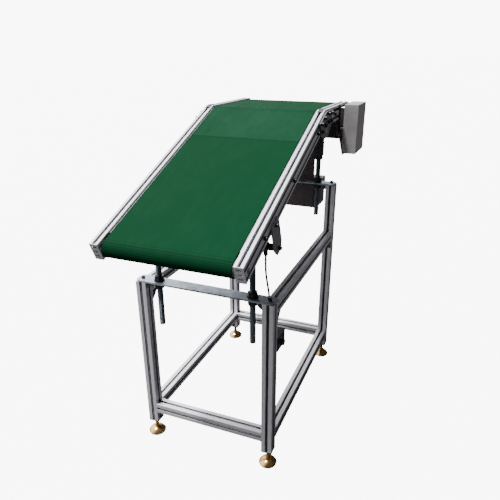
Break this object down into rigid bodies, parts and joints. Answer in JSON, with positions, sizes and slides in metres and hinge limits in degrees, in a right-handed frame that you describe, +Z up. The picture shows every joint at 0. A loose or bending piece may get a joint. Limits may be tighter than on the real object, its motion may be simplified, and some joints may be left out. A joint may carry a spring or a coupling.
{
  "type": "inclined belt conveyor section",
  "caption": "Inclined belt conveyor with a level head, on a height-adjustable slotted-profile stand with levelling feet, chain drive under a guard, control box and speed controller.",
  "frame": {"origin": "on the floor, under the centre of the whole section's bounding box", "axes": "+X across the belt towards the drive, +Y from the low tail to the high head, +Z up"},
  "size_m": [0.5824, 1.1614, 1.178],
  "materials": {
    "anodised_aluminium": "satin",
    "black_cast": "satin",
    "black_oxide": "satin",
    "galvanised_plate": "satin",
    "yellow_zinc": "satin",
    "rod_steel": "satin",
    "bright_steel": "satin",
    "bearing_steel": "polished",
    "bed_steel": "satin",
    "green_belt": "matte",
    "roller_steel": "satin",
    "black_plastic": "matte",
    "box_paint": "satin",
    "grey_plate": "satin",
    "guard_sheet": "satin",
    "motor_paint": "satin",
    "gear_case": "satin",
    "chain_steel": "satin",
    "cable_jacket": "matte",
    "knob_plastic": "gloss",
    "switch_plastic": "gloss"
  },
  "bodies": {
    "stand": {"controller_case": "black_plastic", "corner_brackets": "black_cast", "cross_plate_front": "galvanised_plate", "cross_plate_rear": "galvanised_plate", "foot_lock_nuts": "black_oxide", "groove_connectors": "black_oxide", "leg_end_caps": "black_plastic", "leg_front_left": "anodised_aluminium", "leg_front_right": "anodised_aluminium", "leg_rear_left": "anodised_aluminium", "leg_rear_right": "anodised_aluminium", "low_rail_front": "anodised_aluminium", "low_rail_left": "anodised_aluminium", "low_rail_rear": "anodised_aluminium", "low_rail_right": "anodised_aluminium", "plate_nuts": "black_oxide", "plate_screws": "black_oxide", "top_rail_left": "anodised_aluminium", "top_rail_right": "anodised_aluminium"},
    "deck": {"belt": "green_belt", "cable_clip": "black_cast", "control_box": "box_paint", "control_box_lid": "box_paint", "control_cable": "cable_jacket", "control_panel": "box_paint", "cross_clamps": "black_cast", "deck_nuts": "black_oxide", "deck_screws": "black_oxide", "drive_chain": "chain_steel", "drive_guard": "guard_sheet", "drive_plate": "motor_paint", "drop_brackets": "black_cast", "front_cross_bar": "black_oxide", "gearbox": "gear_case", "guard_posts": "bright_steel", "head_rail_left": "anodised_aluminium", "head_rail_right": "anodised_aluminium", "incline_rail_left": "anodised_aluminium", "incline_rail_right": "anodised_aluminium", "knee_covers": "black_plastic", "knee_plate_left": "grey_plate", "knee_plate_right": "grey_plate", "motor": "motor_paint", "pivot_plates": "grey_plate", "rear_hanger": "black_cast", "roller_bearings": "bearing_steel", "slider_bed": "bed_steel", "support_rods": "rod_steel", "tie_bars": "bright_steel"},
    "drive_roller": {"drive_roller": "roller_steel", "drive_sprocket": "chain_steel"},
    "tail_roller": {"tail_roller": "roller_steel"},
    "return_roller": {"return_roller": "roller_steel"},
    "motor_sprocket": {"motor_sprocket": "chain_steel"},
    "controller_knob": {"controller_knob": "knob_plastic"},
    "controller_switch": {"controller_switch": "switch_plastic"},
    "foot_front_left": {"foot_front_left": "yellow_zinc"},
    "foot_front_right": {"foot_front_right": "yellow_zinc"},
    "foot_rear_left": {"foot_rear_left": "yellow_zinc"},
    "foot_rear_right": {"foot_rear_right": "yellow_zinc"}
  },
  "joints": [
    {"name": "deck_height", "type": "slide", "parent": "stand", "child": "deck", "axis": [0, 0, 1], "range_m": [-0.07, 0.11], "deforming": ["control_cable"]},
    {"name": "drive_roller_spin", "type": "hinge", "parent": "deck", "child": "drive_roller", "pos_m": [-0.02875, 0.55021, 1.1435], "axis": [1, 0, 0], "continuous": true},
    {"name": "tail_roller_spin", "type": "hinge", "parent": "deck", "child": "tail_roller", "pos_m": [-0.02875, -0.54851, 0.84236], "axis": [1, 0, 0], "continuous": true},
    {"name": "return_roller_spin", "type": "hinge", "parent": "deck", "child": "return_roller", "pos_m": [-0.02875, 0.20509, 1.101], "axis": [1, 0, 0], "continuous": true},
    {"name": "motor_sprocket_spin", "type": "hinge", "parent": "deck", "child": "motor_sprocket", "pos_m": [0.25625, 0.52021, 1.0705], "axis": [1, 0, 0], "continuous": true},
    {"name": "speed_knob_turn", "type": "hinge", "parent": "stand", "child": "controller_knob", "pos_m": [0.22325, -0.30337, 0.488], "axis": [1, 0, 0], "range_deg": [0, 270]},
    {"name": "power_switch_rock", "type": "hinge", "parent": "stand", "child": "controller_switch", "pos_m": [0.22025, -0.27313, 0.488], "axis": [0, 1, 0], "range_deg": [0, 14]},
    {"name": "foot_level_front_left", "type": "slide", "parent": "stand", "child": "foot_front_left", "axis": [0, 0, 1], "range_m": [-0.03, 0.01]},
    {"name": "foot_level_front_right", "type": "slide", "parent": "stand", "child": "foot_front_right", "axis": [0, 0, 1], "range_m": [-0.03, 0.01]},
    {"name": "foot_level_rear_left", "type": "slide", "parent": "stand", "child": "foot_rear_left", "axis": [0, 0, 1], "range_m": [-0.03, 0.01]},
    {"name": "foot_level_rear_right", "type": "slide", "parent": "stand", "child": "foot_rear_right", "axis": [0, 0, 1], "range_m": [-0.03, 0.01]}
  ],
  "couplings": [
    {"joint": "tail_roller_spin", "follows": "drive_roller_spin", "ratio": 1},
    {"joint": "return_roller_spin", "follows": "drive_roller_spin", "ratio": -1.6154},
    {"joint": "motor_sprocket_spin", "follows": "drive_roller_spin", "ratio": 1.25}
  ]
}
